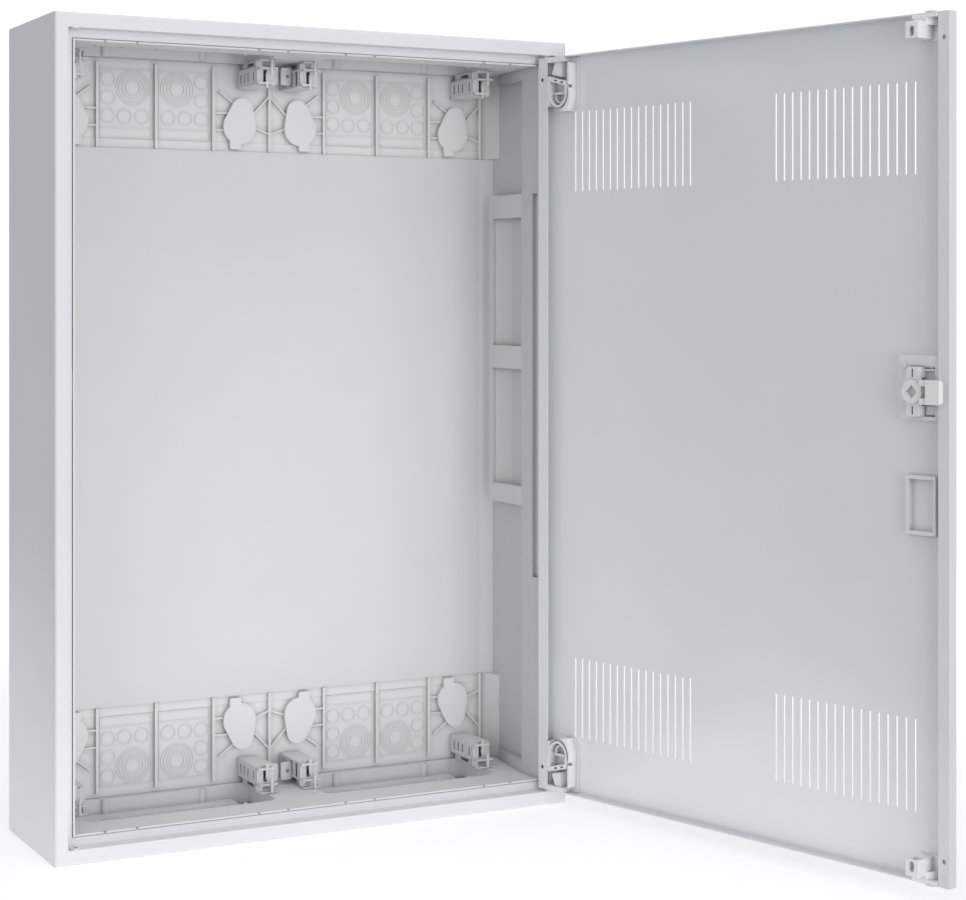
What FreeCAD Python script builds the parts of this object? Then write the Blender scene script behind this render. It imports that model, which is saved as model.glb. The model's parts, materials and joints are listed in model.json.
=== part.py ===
import FreeCAD, Part
import math
import os

# Surface-mounted sheet-steel distribution cabinet, two fields wide and five rows high.
# Frame: +X right, +Y into the wall, +Z up; the origin is the centre of the wall-fixing
# holes on the back plane. All lengths are in millimetres.
V = FreeCAD.Vector

# ---- Driving dimensions: cabinet body ----
FIELD_WIDTH = 250.0
ROW_HEIGHT = 150.0
FIELDS = 2
ROWS = 5
GRID_MARGIN = 50.0
WIDTH = FIELDS * FIELD_WIDTH + GRID_MARGIN
HEIGHT = ROWS * ROW_HEIGHT + GRID_MARGIN
DEPTH = 160.0
BODY_SHEET = 1.5
SIDE_FLANGE = 12.5
END_FLANGE = 14.0
REBATE_DEPTH = 16.0
LIP_X = 254.0
LIP_Z = 378.0
BODY_BEND = 2.6
HALF_X = WIDTH / 2
HALF_Z = HEIGHT / 2
FRONT_Y = -DEPTH
LIP_Y = FRONT_Y + REBATE_DEPTH
REBATE_X = HALF_X - SIDE_FLANGE
REBATE_Z = HALF_Z - END_FLANGE

# ---- Wall fixing and cable entry ----
WALL_HOLE_R = 4.5
WALL_HOLE_X = 213.5
WALL_HOLE_Z = 316.0
REAR_TRAY_DEPTH = 14.0
WELL_X0 = 26.0
WELL_X1 = 226.0
WELL_Y0 = -100.0
WELL_Y1 = -12.0
ENTRY_MARGIN = 14.0
ENTRY_PLATE = 2.0
ENTRY_SCREW_R = 1.9

# ---- Plastic liner ----
LINER_WALL = 1.4
LINER_Z = 376.5
LINER_X = 251.3
RECESS_X = 262.0
BAND_Y = -7.0
PANEL_Y = -10.0
BAND_EDGE_Z = 285.0
BAY_WIDTH = FIELD_WIDTH / 4
RIB_WIDTH = 2.8
RIB_RISE = 4.6
RIB_END_Z = 371.5
PAD_RISE = 6.2
SIDE_SLOT_Y0 = -141.4
SIDE_SLOT_Y1 = -129.5
SIDE_SLOT_Z0 = -164.0
SIDE_SLOT_Z1 = 242.0
STRIP_Y = -106.0
LINER_FRONT_Y = -145.2
LINER_SEAT_Y = -142.3
RIM_OUT_X = 253.3
RIM_OUT_Z = 377.1
RIM_IN_Z = 375.4
RIM_NOTCHES = (-97.0, -65.0, 60.0, 91.0)
RECESS_END_Z = 365.0
GUIDE_RAIL_Y = -39.5
COVE_FULLNESS = 0.12
EGG_WIDE_X = 34.3
EGG_WIDE_Z = 310.6
EGG_WIDE_R = 18.0
EGG_NARROW_X = 31.2
EGG_NARROW_Z = 329.0
EGG_NARROW_R = 12.0

# ---- Door ----
DOOR_SHEET = 1.2
DOOR_HALF_X = 258.5
DOOR_HALF_Z = 383.0
DOOR_PAN = 12.0
FREE_LIP = 11.5
HINGE_LIP = 13.0
DOOR_BEND = 2.0
DOOR_OPEN_DEG = 104.47
PIVOT_X = 254.0
PIVOT_Y = -154.5
PIN_R = 2.5
PIN_PLAY = 0.05
INNER_SKIN_Y = FRONT_Y + DOOR_SHEET
DOOR_BACK_Y = FRONT_Y + DOOR_PAN
VENT_PITCH = 10.0
VENTS_PER_GROUP = 17
VENT_FIRST_X = 54.5
VENT_Z0 = 242.0
VENT_Z1 = 325.0
VENT_WIDTH = 2.4

CUP_X = PIVOT_X - 25.0
CUP_Z = 343.0
LIP_HOLE_R = 2.2
LIP_HOLE_X = 253.2
LIP_HOLE_ZS = (373.0, 360.0)
BUSH_R = 4.0
BUSH_HEAD_R = 5.2
NUB_XS = (-238.5, -233.5)
NUB_HALF = 1.8
NUB_PLAY = 0.2
NUB_RISE = 1.8
NUB_Y0 = INNER_SKIN_Y + 4.0
NUB_Y1 = INNER_SKIN_Y + 9.0

# ---- Rail brackets ----
TAB_HOLE_R = 1.9
BRACKET_LEFT_FACES = {"left": -237.0, "mid_left": -35.0, "mid_right": 13.0, "right": 215.0}
BRACKET_PLACES = {
    "left": (-FIELD_WIDTH, 1),
    "mid_left": (0.0, -1),
    "mid_right": (0.0, 1),
    "right": (FIELD_WIDTH, -1),
}

# ---- Latch ----
SPINDLE_X = -222.0
SPINDLE_Z = 49.5
LATCH_Z0 = 24.5
LATCH_Z1 = 81.5
LATCH_X0 = -246.0
LATCH_X1 = -203.0
BLANK_X0 = -241.0
BLANK_X1 = -209.0
BOLT_TIP_X = -256.5
BOLT_BODY_X = -250.8
BEVEL = 1.7
BLANK_Z0 = -77.5
BLANK_Z1 = -25.0
SPINDLE_STEM_R = 5.0
BARREL_R = 9.0
RING_R = 10.6
LATCH_WALL_Y = 7.5
BRIDGE_Y0 = INNER_SKIN_Y + 9.5
BRIDGE_Y1 = INNER_SKIN_Y + 14.5
RING_TOP_Y = BRIDGE_Y1 + 1.5
BOLT_Y0 = DOOR_BACK_Y + 0.5
BOLT_Y1 = LIP_Y + BODY_SHEET + 0.7
BOLT_Y2 = INNER_SKIN_Y + 20.8
YOKE_ARM = 5.5
YOKE_END_X = -231.8
KEEL_X0 = -242.0
KEEL_X1 = -239.0
KEEL_HALF_Z = 7.0
KEEL_PLAY = 0.3
GUIDE_END_X = -233.2
BOLT_HALF_Z = 10.8
BOLT_WINDOW_MARGIN = 2.0


# ---------------------------------------------------------------- shape helpers
def block(x0, x1, y0, y1, z0, z1):
    low = V(min(x0, x1), min(y0, y1), min(z0, z1))
    return Part.makeBox(abs(x1 - x0), abs(y1 - y0), abs(z1 - z0), low)


def rod(radius, start, axis, length):
    return Part.makeCylinder(radius, length, start, axis)


def along_y(radius, x, z, y0, y1):
    return rod(radius, V(x, min(y0, y1), z), V(0, 1, 0), abs(y1 - y0))


def join(shapes):
    shapes = list(shapes)
    return shapes[0].multiFuse(shapes[1:]).removeSplitter()


def cut(shape, tools):
    return shape.cut(list(tools)).removeSplitter()


def ring(outer_x, outer_z, inner_x, inner_z, y0, y1):
    """Rectangular frame lying in the XZ plane, centred on the origin."""
    outside = block(-outer_x, outer_x, y0, y1, -outer_z, outer_z)
    return outside.cut(block(-inner_x, inner_x, y0 - 1, y1 + 1, -inner_z, inner_z))


def tube_ring(radius, wall, x, z, y0, y1):
    """Round ridge standing on an XZ face."""
    return along_y(radius, x, z, y0, y1).cut(along_y(radius - wall, x, z, y0 - 1, y1 + 1))


def raise_face(face, travel):
    """Extrudes a face into a solid whose outside faces outwards."""
    solid = face.extrude(travel)
    if solid.Volume < 0:
        solid.reverse()
    return solid


def prism(edges, y0, y1):
    """Extrudes a closed outline of edges, drawn at y = 0, from y0 to y1."""
    face = Part.Face(Part.Wire(Part.__sortEdges__(edges)))
    face.translate(V(0, min(y0, y1), 0))
    return raise_face(face, V(0, abs(y1 - y0), 0))


def polygon(points, y0, y1):
    corners = [V(x, 0, z) for x, z in points]
    corners.append(corners[0])
    face = Part.Face(Part.makePolygon(corners))
    face.translate(V(0, min(y0, y1), 0))
    return raise_face(face, V(0, abs(y1 - y0), 0))


def plan_polygon(points, z0, z1):
    """Extrudes an outline given in the XY plane from z0 to z1."""
    corners = [V(x, y, z0) for x, y in points]
    corners.append(corners[0])
    return raise_face(Part.Face(Part.makePolygon(corners)), V(0, 0, z1 - z0))


def slot(x, z0, z1, width, y0, y1):
    """Upright round-ended slot."""
    r = width / 2
    left_low, left_high = V(x - r, 0, z0 + r), V(x - r, 0, z1 - r)
    right_low, right_high = V(x + r, 0, z0 + r), V(x + r, 0, z1 - r)
    edges = [
        Part.LineSegment(left_low, left_high).toShape(),
        Part.Arc(left_high, V(x, 0, z1), right_high).toShape(),
        Part.LineSegment(right_high, right_low).toShape(),
        Part.Arc(right_low, V(x, 0, z0), left_low).toShape(),
    ]
    return prism(edges, y0, y1)


def bar(x0, z0, x1, z1, width, y0, y1):
    """Straight rib between two points of an XZ face."""
    length = math.hypot(x1 - x0, z1 - z0)
    across = V(-(z1 - z0) / length, 0, (x1 - x0) / length) * (width / 2)
    start, end = V(x0, 0, z0), V(x1, 0, z1)
    corners = [start + across, end + across, end - across, start - across]
    return polygon([(p.x, p.z) for p in corners], y0, y1)


def round_edges(shape, radius, chosen):
    """Fillets the straight edges whose two ends both satisfy the test."""
    edges = [e for e in shape.Edges if all(chosen(v.Point) for v in e.Vertexes)]
    return shape.makeFillet(radius, edges)


def rounded_block(x0, x1, y0, y1, z0, z1, radius, axis="y"):
    """Block with the four edges along one axis rounded."""
    body = block(x0, x1, y0, y1, z0, z1)
    turn = {"x": V(1, 0, 0), "y": V(0, 1, 0), "z": V(0, 0, 1)}[axis]
    edges = [e for e in body.Edges if abs(abs(e.tangentAt(e.FirstParameter).dot(turn)) - 1) < 1e-6]
    return body.makeFillet(radius, edges)


def mirror_x(shape):
    return shape.mirror(V(0, 0, 0), V(1, 0, 0))


def mirror_z(shape):
    return shape.mirror(V(0, 0, 0), V(0, 0, 1))


def flip(shape, side, end):
    """Copies a right-hand, upper shape to the side (-1 left) and end (-1 lower) asked for."""
    shape = shape.copy()
    if side < 0:
        shape = mirror_x(shape)
    if end < 0:
        shape = mirror_z(shape)
    return shape


def group(shapes):
    return Part.makeCompound(list(shapes))


# ---------------------------------------------------------------- sheet-steel body
def well_block(side, end, z0, z1, inset=0.0):
    """The rounded space of one cable-entry well, seen from inside the cabinet."""
    x0, x1 = WELL_X0 + inset, WELL_X1 - inset
    y0, y1 = WELL_Y0 + inset, WELL_Y1 - inset
    return flip(rounded_block(x0, x1, y0, y1, z0, z1, 12.0 - inset / 2, "z"), side, end)


def make_shell():
    walls = block(-HALF_X, HALF_X, FRONT_Y, 0, -HALF_Z, HALF_Z)
    walls = round_edges(
        walls, BODY_BEND, lambda p: p.y < FRONT_Y + 1 and (abs(p.x) > HALF_X - 1)
    )
    inside_x, inside_z = HALF_X - BODY_SHEET, HALF_Z - BODY_SHEET
    walls = walls.cut(block(-inside_x, inside_x, FRONT_Y + BODY_SHEET, 1, -inside_z, inside_z))
    walls = walls.cut(block(-REBATE_X, REBATE_X, FRONT_Y - 1, FRONT_Y + 3, -REBATE_Z, REBATE_Z))
    rebate = ring(
        REBATE_X + BODY_SHEET, REBATE_Z + BODY_SHEET, REBATE_X, REBATE_Z, FRONT_Y + BODY_SHEET, LIP_Y
    )
    lip = ring(
        REBATE_X + BODY_SHEET, REBATE_Z + BODY_SHEET, LIP_X, LIP_Z, LIP_Y, LIP_Y + BODY_SHEET
    )
    shell = join([walls, rebate, lip])
    tools = []
    for side in (-1, 1):
        for end in (-1, 1):
            tools.append(
                well_block(side, end, HALF_Z - 3 * BODY_SHEET, HALF_Z + 1, ENTRY_MARGIN)
            )
            pin_hole = rod(BUSH_R + PIN_PLAY, V(PIVOT_X, PIVOT_Y, REBATE_Z - 1), V(0, 0, 1), BODY_SHEET + 2)
            tools.append(flip(pin_hole, side, end))
    return cut(shell, tools)


def wall_hole_places():
    return [(x, z) for x in (-WALL_HOLE_X, WALL_HOLE_X) for z in (-WALL_HOLE_Z, WALL_HOLE_Z)]


def make_rear_wall():
    x, z = HALF_X - BODY_SHEET, HALF_Z - BODY_SHEET
    plate = block(-x, x, -BODY_SHEET, 0, -z, z)
    skirt = ring(x, z, x - BODY_SHEET, z - BODY_SHEET, -REAR_TRAY_DEPTH, -BODY_SHEET)
    tray = join([plate, skirt])
    return cut(tray, [along_y(WALL_HOLE_R, x, z, -5, 5) for x, z in wall_hole_places()])


# ---------------------------------------------------------------- cable entry
def entry_screw_places(side, end):
    x0, x1 = WELL_X0 + 8, WELL_X1 - 8
    y0, y1 = WELL_Y0 + 4, WELL_Y1 - 4
    corners = [(x0, y0 + 8), (x0, y1 - 8), (x1, y0 + 8), (x1, y1 - 8)]
    return [(side * x, y, end) for x, y in corners]


def make_entry_plates(end):
    plates = []
    top = HALF_Z - BODY_SHEET
    for side in (-1, 1):
        plate = block(
            WELL_X0 + 2, WELL_X1 - 2, WELL_Y0 + 2, WELL_Y1 - 2, top - ENTRY_PLATE, top
        )
        marks = []
        for knock in range(5):
            centre = V(WELL_X0 + 36 + knock * 32, (WELL_Y0 + WELL_Y1) / 2, top - 0.6)
            groove = rod(12.0, centre, V(0, 0, 1), 1).cut(rod(11.0, centre, V(0, 0, 1), 1))
            marks.append(groove)
        plate = cut(plate, marks)
        holes = [
            rod(ENTRY_SCREW_R + 0.1, V(abs(x), y, top - 5), V(0, 0, 1), 8)
            for x, y, _ in entry_screw_places(1, end)
        ]
        plates.append(flip(cut(plate, holes), side, end))
    return group(plates)


def make_entry_screws():
    """Pan-head screws that hold the entry plates from inside."""
    screws = []
    plate_face = HALF_Z - BODY_SHEET - ENTRY_PLATE
    for side in (-1, 1):
        for end in (-1, 1):
            for x, y, _ in entry_screw_places(1, end):
                head = rod(3.4, V(x, y, plate_face - 2.0), V(0, 0, 1), 2.0)
                shank = rod(ENTRY_SCREW_R, V(x, y, plate_face), V(0, 0, 1), ENTRY_PLATE)
                cross = block(x - 2.2, x + 2.2, y - 0.4, y + 0.4, plate_face - 3, plate_face - 1)
                cross = cross.fuse(
                    block(x - 0.4, x + 0.4, y - 2.2, y + 2.2, plate_face - 3, plate_face - 1)
                )
                screws.append(flip(join([head, shank]).cut(cross), side, end))
    return group(screws)


# ---------------------------------------------------------------- liner: back
def make_back_panel():
    panel = block(-RECESS_X, RECESS_X, PANEL_Y, PANEL_Y + 5, -BAND_EDGE_Z + 0.2, BAND_EDGE_Z - 0.2)
    for side in (-1, 1):
        cove = cove_strip(-BAND_EDGE_Z + 0.2, BAND_EDGE_Z - 0.2, PANEL_Y, 12.0, 10.0)
        panel = panel.fuse(flip(cove, side, 1))
    return panel.removeSplitter()


def cove_strip(z0, z1, face_y, reach_x, reach_y):
    """Hollow-curved corner between the back face and a side wall, on the right."""
    corner = V(RECESS_X, face_y, z0)
    on_back = V(RECESS_X - reach_x, face_y, z0)
    on_side = V(RECESS_X, face_y - reach_y, z0)
    bulge = V(RECESS_X - reach_x * COVE_FULLNESS, face_y - reach_y * COVE_FULLNESS, z0)
    curve = Part.BezierCurve()
    curve.setPoles([on_back, bulge, on_side])
    edges = [
        Part.LineSegment(corner, on_back).toShape(),
        curve.toShape(),
        Part.LineSegment(on_side, corner).toShape(),
    ]
    return raise_face(Part.Face(Part.Wire(edges)), V(0, 0, z1 - z0))


def egg_pad(edge_x, inward, y0, y1):
    """Egg-shaped pad of a band beside the field edge at edge_x, leaning towards that edge."""
    wide = V(EGG_WIDE_X, 0, EGG_WIDE_Z)
    narrow = V(EGG_NARROW_X, 0, EGG_NARROW_Z)
    axis = (narrow - wide).normalize()
    side = V(axis.z, 0, -axis.x)
    span = (narrow - wide).Length
    sine = (EGG_WIDE_R - EGG_NARROW_R) / span
    cosine = math.sqrt(1 - sine * sine)
    wide_right = wide + (side * cosine + axis * sine) * EGG_WIDE_R
    wide_left = wide + (side * -cosine + axis * sine) * EGG_WIDE_R
    narrow_right = narrow + (side * cosine + axis * sine) * EGG_NARROW_R
    narrow_left = narrow + (side * -cosine + axis * sine) * EGG_NARROW_R
    edges = [
        Part.Arc(wide_left, wide - axis * EGG_WIDE_R, wide_right).toShape(),
        Part.LineSegment(wide_right, narrow_right).toShape(),
        Part.Arc(narrow_right, narrow + axis * EGG_NARROW_R, narrow_left).toShape(),
        Part.LineSegment(narrow_left, wide_left).toShape(),
    ]
    body = prism(edges, y0, y1)
    neck_x = EGG_WIDE_X + 4.5
    neck = rounded_block(neck_x - 6.2, neck_x + 6.2, y0, y1, BAND_EDGE_Z + 2.0, EGG_WIDE_Z, 2.0, "y")
    pad = flip(join([body, neck]), inward, 1)
    pad.translate(V(edge_x, 0, 0))
    return pad


def knockout_square(x0, mirror, base_y):
    """Raised outline, rings and round marks of one cable knock-out, in a bay starting at x0."""
    line, rise = 0.9, 0.7
    low_z, step_z, high_z = 295.0, 305.0, 366.0
    left, right = x0 + 3.5, x0 + BAY_WIDTH - 3.5
    top = base_y - rise
    pieces = [
        block(left, left + line, top, base_y, low_z, high_z),
        block(right - line, right, top, base_y, low_z, high_z),
        block(left, right, top, base_y, high_z - line, high_z),
        block(left, right, top, base_y, low_z, low_z + line),
        block(left, right, top, base_y, step_z, step_z + line),
    ]
    middle = x0 + BAY_WIDTH / 2
    big_x = middle + mirror * 7.4
    for radius in (18.0, 15.0, 11.5, 8.0):
        pieces.append(tube_ring(radius, 0.8, big_x, 347.0, top, base_y))
    small = [(-19.0, 355.6), (-19.0, 336.4), (-19.0, 317.4), (-1.3, 317.4), (17.1, 317.4)]
    for offset, z in small:
        pieces.append(tube_ring(7.6, 0.8, middle + mirror * offset, z, top, base_y))
    return pieces


def pad_spokes(edge_x, inward, base_y):
    """Thin ribs between an egg pad, the field's edge rib and the next bay rib."""
    top = base_y - 4.0
    width = 1.8
    runs = [
        (0.0, 344.0, 24.0, 324.0 - 5.0),
        (0.0, 304.0, 24.0, 312.5),
        (44.0, 324.5, BAY_WIDTH, 324.5),
        (48.0, 307.0, BAY_WIDTH, 307.0),
        (40.0, 335.0, 56.0, 347.0),
    ]
    spokes = []
    for x0, z0, x1, z1 in runs:
        spokes.append(
            bar(edge_x + inward * x0, z0, edge_x + inward * x1, z1, width, top, base_y)
        )
    return spokes


def make_band():
    """Upper knock-out moulding; the lower one is its mirror image."""
    limit = LINER_Z - 0.2
    pieces = [block(-RECESS_X, RECESS_X, BAND_Y, BAND_Y + LINER_WALL, BAND_EDGE_Z, limit)]
    for k in range(-4, 5):
        x = k * BAY_WIDTH
        pieces.append(
            block(x - RIB_WIDTH / 2, x + RIB_WIDTH / 2, BAND_Y - RIB_RISE, BAND_Y,
                  BAND_EDGE_Z, RIB_END_Z)
        )
    for field_x in (-FIELD_WIDTH, 0.0):
        pieces += knockout_square(field_x + BAY_WIDTH, 1, BAND_Y)
        pieces += knockout_square(field_x + 2 * BAY_WIDTH, -1, BAND_Y)
        for edge_x, inward in ((field_x, 1), (field_x + FIELD_WIDTH, -1)):
            pieces.append(egg_pad(edge_x, inward, BAND_Y - PAD_RISE, BAND_Y))
            pieces += pad_spokes(edge_x, inward, BAND_Y)
    for side in (-1, 1):
        pieces.append(flip(cove_strip(BAND_EDGE_Z, limit, BAND_Y, 11.0, 28.0), side, 1))
    pieces.append(block(-LINER_X, LINER_X, BAND_Y - 0.9, BAND_Y, BAND_EDGE_Z, 294.0))
    return join(pieces)


# ---------------------------------------------------------------- liner: ends and sides
def make_ceiling():
    """Upper end moulding with two cable-entry wells; the floor is its mirror image."""
    plate_z1 = LINER_Z + LINER_WALL
    skirt_z1 = HALF_Z - BODY_SHEET - ENTRY_PLATE - 0.2
    plate = block(-RECESS_X, RECESS_X, LINER_SEAT_Y, BAND_Y + LINER_WALL, LINER_Z, plate_z1)
    skirts = []
    spaces = []
    for side in (-1, 1):
        outside = well_block(side, 1, LINER_Z, skirt_z1, -LINER_WALL)
        skirts.append(outside)
        spaces.append(well_block(side, 1, LINER_Z - 1, skirt_z1 + 1))
    moulding = cut(join([plate] + skirts), spaces)
    extras = []
    for side in (-1, 1):
        for x in (62.0, 92.5, 156.0, 190.0, 217.0):
            nib = rod(1.9, V(side * x, WELL_Y0 - 0.6, LINER_Z - 1.0), V(0, 0, 1), 2.2)
            extras.append(nib)
        for x in (76.0, 180.0):
            pilaster = rod(4.2, V(side * x, WELL_Y1 + 0.4, LINER_Z + 0.8), V(0, 0, 1), 17.0)
            extras.append(pilaster)
        far_wall = block(
            side * 76.0, side * 180.0, WELL_Y1 - 1.6, WELL_Y1 + 0.5, LINER_Z + 0.8, LINER_Z + 17.8
        )
        ledge = block(
            side * 44.0, side * 208.0, WELL_Y1 - 20.0, WELL_Y1 + 0.5, LINER_Z + 15.0, LINER_Z + 17.8
        )
        extras += [far_wall, ledge]
    moulding = join([moulding] + extras)
    marks = []
    for x, y in ((-9.4, -63.0), (2.1, -54.0), (14.0, -92.0)):
        marks.append(block(x - 4, x + 4, y - 0.8, y + 0.8, LINER_Z - 1, LINER_Z + 1.0))
    for x in rim_notch_places():
        marks.append(
            block(x - 1.5, x + 1.5, LINER_SEAT_Y - 1, LINER_SEAT_Y + 3.0, LINER_Z - 1, plate_z1 + 1)
        )
    return cut(moulding, marks)


def make_side_liner(side):
    """Side moulding: front strip with a long slot, and a recessed field behind it."""
    outer_x = RECESS_X + 1.5
    strip = block(LINER_X, LINER_X + LINER_WALL, LINER_SEAT_Y, STRIP_Y, -LINER_Z, LINER_Z)
    step = block(LINER_X + LINER_WALL, outer_x, STRIP_Y - 1.5, STRIP_Y, -LINER_Z, LINER_Z)
    field = block(RECESS_X, outer_x, STRIP_Y, BAND_Y + LINER_WALL, -LINER_Z, LINER_Z)
    pieces = [strip, step, field]
    for end in (-1, 1):
        closing = plan_polygon(
            [(LINER_X, STRIP_Y), (RECESS_X, STRIP_Y), (RECESS_X, -36.0), (LINER_X + 9.0, -36.0)],
            end * RECESS_END_Z,
            end * LINER_Z,
        )
        pieces.append(closing)
    side_slot = block(
        LINER_X - 1, LINER_X + LINER_WALL + 1, SIDE_SLOT_Y0, SIDE_SLOT_Y1, SIDE_SLOT_Z0, SIDE_SLOT_Z1
    )
    moulding = cut(join(pieces), [side_slot])
    if side < 0:
        moulding = mirror_x(moulding)
        half = BOLT_HALF_Z + BOLT_WINDOW_MARGIN
        window = block(
            -RECESS_X + 1, -LINER_X + 3, LIP_Y, -128.0, SPINDLE_Z - half, SPINDLE_Z + half
        )
        moulding = cut(moulding, [window])
    return moulding


def make_cable_guide(side):
    """Ladder-like frame across the recessed field of a side moulding."""
    y0, y1 = STRIP_Y + 0.1, -32.0
    z0, z1 = -91.0, 243.0
    frame = block(LINER_X, LINER_X + 3.0, y0, y1, z0, z1)
    windows = [
        block(LINER_X - 1, LINER_X + 5, y0 + 0.5, GUIDE_RAIL_Y, 79.5, 218.0),
        block(LINER_X - 1, LINER_X + 5, y0 + 0.5, GUIDE_RAIL_Y, -71.0, 55.0),
    ]
    frame = cut(frame, windows)
    back_wall = block(LINER_X + 3.0, RECESS_X, y1 - 2.0, y1, z0, z1)
    trough = cove_strip(z0, z1, GUIDE_RAIL_Y - 1.0, RECESS_X - LINER_X - 3.0, 24.0)
    trough_back = block(LINER_X + 3.0, RECESS_X, GUIDE_RAIL_Y - 1.2, y1 - 1.0, z0, z1)
    rungs = [
        block(LINER_X + 3.0, RECESS_X, y0, y1 - 2.0, z - 1.0, z + 1.0)
        for z in (z0 + 1.0, 56.0, 78.5, -72.0, 219.0, z1 - 1.0)
    ]
    guide = join([frame, back_wall, trough, trough_back] + rungs)
    return flip(guide, side, 1)


def rim_notch_places():
    return [
        field_x + offset
        for field_x in (-FIELD_WIDTH / 2, FIELD_WIDTH / 2)
        for offset in RIM_NOTCHES
    ]


def make_rim_frame():
    """Plastic trim round the front edge of the liner, with small notches for cover frames."""
    trim = ring(RIM_OUT_X, RIM_OUT_Z, LINER_X, RIM_IN_Z, LINER_FRONT_Y, LINER_SEAT_Y - 0.1)
    notches = []
    for x in rim_notch_places():
        for z in (-RIM_IN_Z, RIM_IN_Z):
            notches.append(
                block(x - 1.5, x + 1.5, LINER_FRONT_Y - 1, LINER_SEAT_Y + 1, z - 1.3, z + 1.3)
            )
    return cut(trim, notches)


# ---------------------------------------------------------------- rail brackets
def bracket_body():
    """Bracket beside a field edge at x = 0, reaching to the right, at the upper end."""
    x0, x1 = 13.0, 35.0
    y0, y1 = -58.0, BAND_Y - 0.1
    z0, z1 = 350.0, 369.5
    wall = 2.0
    body = rounded_block(x0, x1, y0, y1, z0, z1, 1.2, "y")
    hollow = block(x0 + wall, x1 - wall, y0 - 1, y1 - 6.0, z0 + wall, z1 - wall)
    tools = [hollow]
    for y in (-18.0, -28.0, -38.0, -54.0):
        tools.append(block(x1 - wall - 1, x1 + 1, y - 1.6, y + 1.6, 355.5, 364.5))
    for y in (-14.5, -19.0, -23.5):
        tools.append(block(x0 - 1, x0 + wall + 1, y - 0.9, y + 0.9, 353.0, 366.0))
    for front, back in ((-42.5, -36.0), (-55.5, -48.0)):
        tools.append(block(x0 - 1, x0 + wall + 1, front, back, z0 + wall + 0.5, z1 - wall - 0.5))
    body = cut(body, tools)
    middle_rib = block(x0 + 10.0, x0 + 11.2, y0 + 8, y1 - 6.0, z0 + wall, z1 - wall)
    tab = rounded_block(1.6, x0 + 1, -38.6, -36.6, 354.0, 372.0, 1.9, "y")
    tab_rib = block(4.0, x0, -36.6, -30.0, 366.5, 368.5)
    foot = block(x0 + 4, x1 - 4, -50.0, -12.0, z1, LINER_Z - 0.1)
    foot = foot.cut(block(x0 + 2, x1 - 2, -44.0, -26.0, z1 + 2, LINER_Z - 1.5))
    bracket = join([body, middle_rib, tab, tab_rib, foot])
    return cut(bracket, [along_y(TAB_HOLE_R, 9.0, 363.0, -45, -30)])


def bracket_clip(left):
    """Snap clip on the front of a bracket whose left face is at x = left, at the upper end."""
    y0 = -58.2
    plate = block(left + 1.0, left + 8.2, y0 - 2.3, y0, 351.0, 366.8)
    inner_plate = block(left + 12.4, left + 20.5, y0 - 1.5, y0, 351.0, 366.8)
    latch_bar = block(left + 9.4, left + 11.5, y0 - 7.8, y0 - 5.6, 347.3, 362.8)
    cross_bar = block(left + 0.8, left + 18.5, y0 - 7.8, y0 - 5.6, 351.3, 353.3)
    stems = [
        block(left + x, left + x + 1.6, y0 - 5.6, y0, 351.3, 353.3) for x in (1.5, 9.6, 16.0)
    ]
    shelf = block(left + 0.8, left + 20.0, y0 - 13.5, y0, 366.6, 368.0)
    roof = block(left + 0.8, left + 20.0, y0 - 13.5, y0, 374.6, 375.9)
    window = block(left + 2.2, left + 17.0, y0 - 11.0, y0 - 2.0, 366.0, 377.0)
    hooks = cut(join([shelf, roof]), [window])
    cheek = block(left + 0.8, left + 7.4, y0 - 2.0, y0, 366.6, 376.0)
    far_cheek = block(left + 18.6, left + 20.0, y0 - 5.0, y0, 366.6, 376.0)
    front_bar = block(left + 11.6, left + 13.9, y0 - 15.4, y0 - 13.0, 360.5, 376.2)
    return join(
        [plate, inner_plate, latch_bar, cross_bar, hooks, cheek, far_cheek, front_bar] + stems
    )


def place_bracket_piece(shape, place, end):
    edge_x, side = BRACKET_PLACES[place]
    piece = flip(shape, side, end)
    piece.translate(V(edge_x, 0, 0))
    return piece


# ---------------------------------------------------------------- hinge parts on the body
def make_hinge_bushes():
    """Plastic bushes in the four pin holes; the two on the right carry the door."""
    bushes = []
    for side in (-1, 1):
        for end in (-1, 1):
            head = rod(BUSH_HEAD_R, V(PIVOT_X, PIVOT_Y, REBATE_Z - 1.2), V(0, 0, 1), 1.2)
            sleeve = rod(BUSH_R, V(PIVOT_X, PIVOT_Y, REBATE_Z), V(0, 0, 1), 6.0)
            bore = rod(PIN_R + PIN_PLAY, V(PIVOT_X, PIVOT_Y, REBATE_Z - 3), V(0, 0, 1), 12.0)
            bushes.append(flip(join([head, sleeve]).cut(bore), side, end))
    return group(bushes)


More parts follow.
